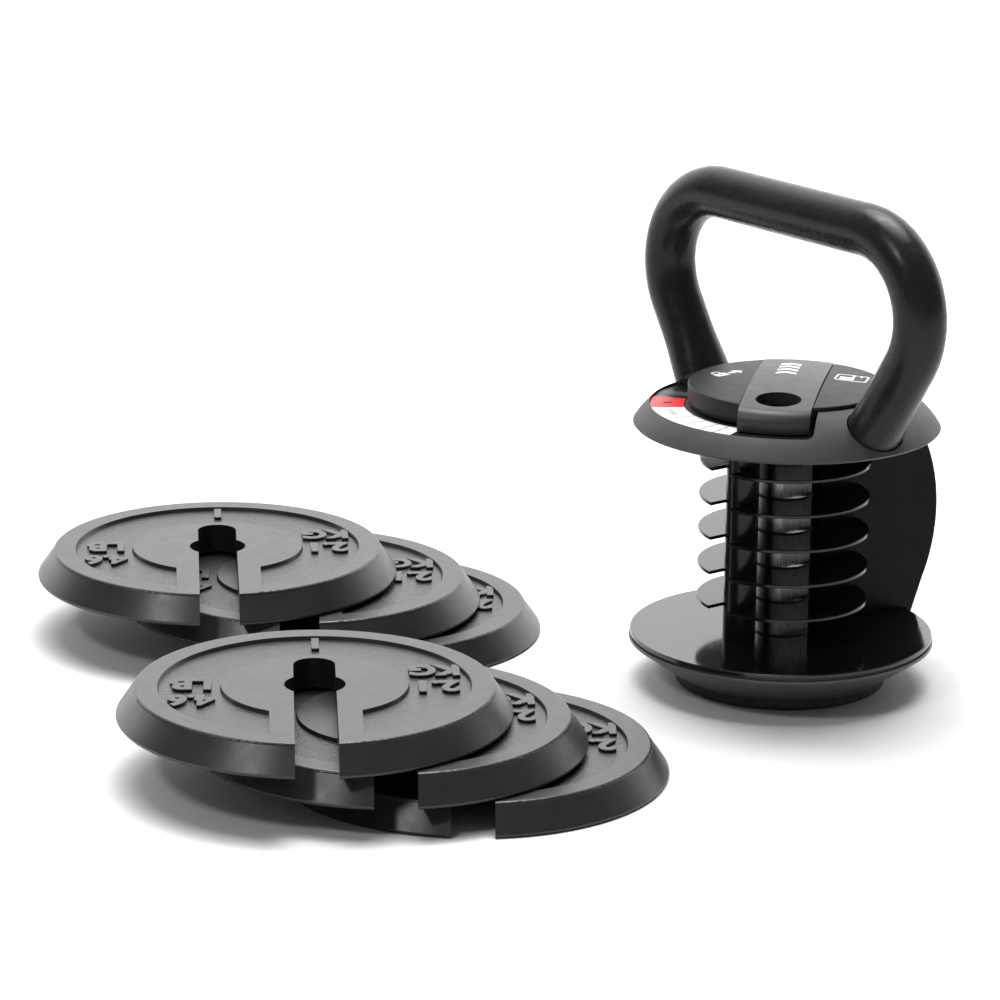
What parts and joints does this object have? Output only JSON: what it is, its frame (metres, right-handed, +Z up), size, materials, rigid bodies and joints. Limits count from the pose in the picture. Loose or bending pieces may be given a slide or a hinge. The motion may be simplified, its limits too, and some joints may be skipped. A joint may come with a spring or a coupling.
{
  "type": "adjustable kettlebell",
  "caption": "Adjustable kettlebell: a handle unit with plate bays and a dial-turned locking shaft, and the slotted round weight plates that load into it.",
  "frame": {"origin": "centre of the flat underside of the foot, on the axis of the selector shaft", "axes": "+Z up, X across the handle from leg to leg, +Y towards the rear fin; plates are pushed in towards +Y"},
  "size_m": [0.5155, 0.5363, 0.295],
  "materials": {
    "foot_rubber": "matt moulded rubber",
    "dish_plastic": "fine satin moulded plastic",
    "base_enamel": "gloss black enamel",
    "screw_steel": "black oxide steel",
    "bush_plastic": "smooth bearing plastic",
    "post_enamel": "gloss black enamel",
    "fin_enamel": "satin black enamel",
    "head_enamel": "black enamel",
    "washer_steel": "bright spring steel",
    "shell_plastic": "fine-grained matt plastic",
    "label_print": "printed label: white cells, red block, dark bands",
    "handle_enamel": "satin black powder coat",
    "plug_steel": "machined steel",
    "shaft_steel": "brushed steel",
    "dial_plastic": "fine-grained matt plastic",
    "lever_plastic": "fine-grained matt plastic",
    "shelf_enamel": "gloss black enamel",
    "plate_iron": "semi-gloss charcoal enamel over cast iron"
  },
  "bodies": {
    "handle_unit": {"base_foot": "foot_rubber", "base_dish": "dish_plastic", "base_plate": "base_enamel", "base_screw": "screw_steel", "dish_screw": "screw_steel", "shaft_bush_low": "bush_plastic", "shelf_bush": "bush_plastic", "shaft_bush_high": "bush_plastic", "spine_post": "post_enamel", "spine_fin": "fin_enamel", "head_plate": "head_enamel", "head_screw": "screw_steel", "friction_washer": "washer_steel", "top_shell": "shell_plastic", "shell_screw": "screw_steel", "setting_label": "label_print", "handle": "handle_enamel", "handle_plug": "plug_steel", "handle_screw": "screw_steel", "shelf_1": "shelf_enamel", "shelf_2": "shelf_enamel", "shelf_3": "shelf_enamel", "shelf_4": "shelf_enamel", "shelf_5": "shelf_enamel"},
    "selector": {"selector_shaft": "shaft_steel", "dial": "dial_plastic", "dial_screw": "screw_steel", "dial_lever": "lever_plastic", "lever_screw": "screw_steel"},
    "plate_1": {"weight_plate_1": "plate_iron"},
    "plate_2": {"weight_plate_2": "plate_iron"},
    "plate_3": {"weight_plate_3": "plate_iron"},
    "plate_4": {"weight_plate_4": "plate_iron"},
    "plate_5": {"weight_plate_5": "plate_iron"},
    "plate_6": {"weight_plate_6": "plate_iron"}
  },
  "joints": [
    {"name": "selector_turn", "type": "hinge", "parent": "handle_unit", "child": "selector", "pos_m": [0, 0, 0.09], "axis": [0, 0, -1], "range_deg": [0, 90]},
    {"name": "plate_3_lift", "type": "slide", "parent": "handle_unit", "child": "plate_3", "axis": [0, 0, 1], "range_m": [0, 0.1]},
    {"name": "plate_2_lift", "type": "slide", "parent": "plate_3", "child": "plate_2", "axis": [0, 0, 1], "range_m": [0, 0.1]},
    {"name": "plate_1_lift", "type": "slide", "parent": "plate_2", "child": "plate_1", "axis": [0, 0, 1], "range_m": [0, 0.1]},
    {"name": "plate_6_lift", "type": "slide", "parent": "handle_unit", "child": "plate_6", "axis": [0, 0, 1], "range_m": [0, 0.1]},
    {"name": "plate_5_lift", "type": "slide", "parent": "plate_6", "child": "plate_5", "axis": [0, 0, 1], "range_m": [0, 0.1]},
    {"name": "plate_4_lift", "type": "slide", "parent": "plate_5", "child": "plate_4", "axis": [0, 0, 1], "range_m": [0, 0.1]}
  ]
}
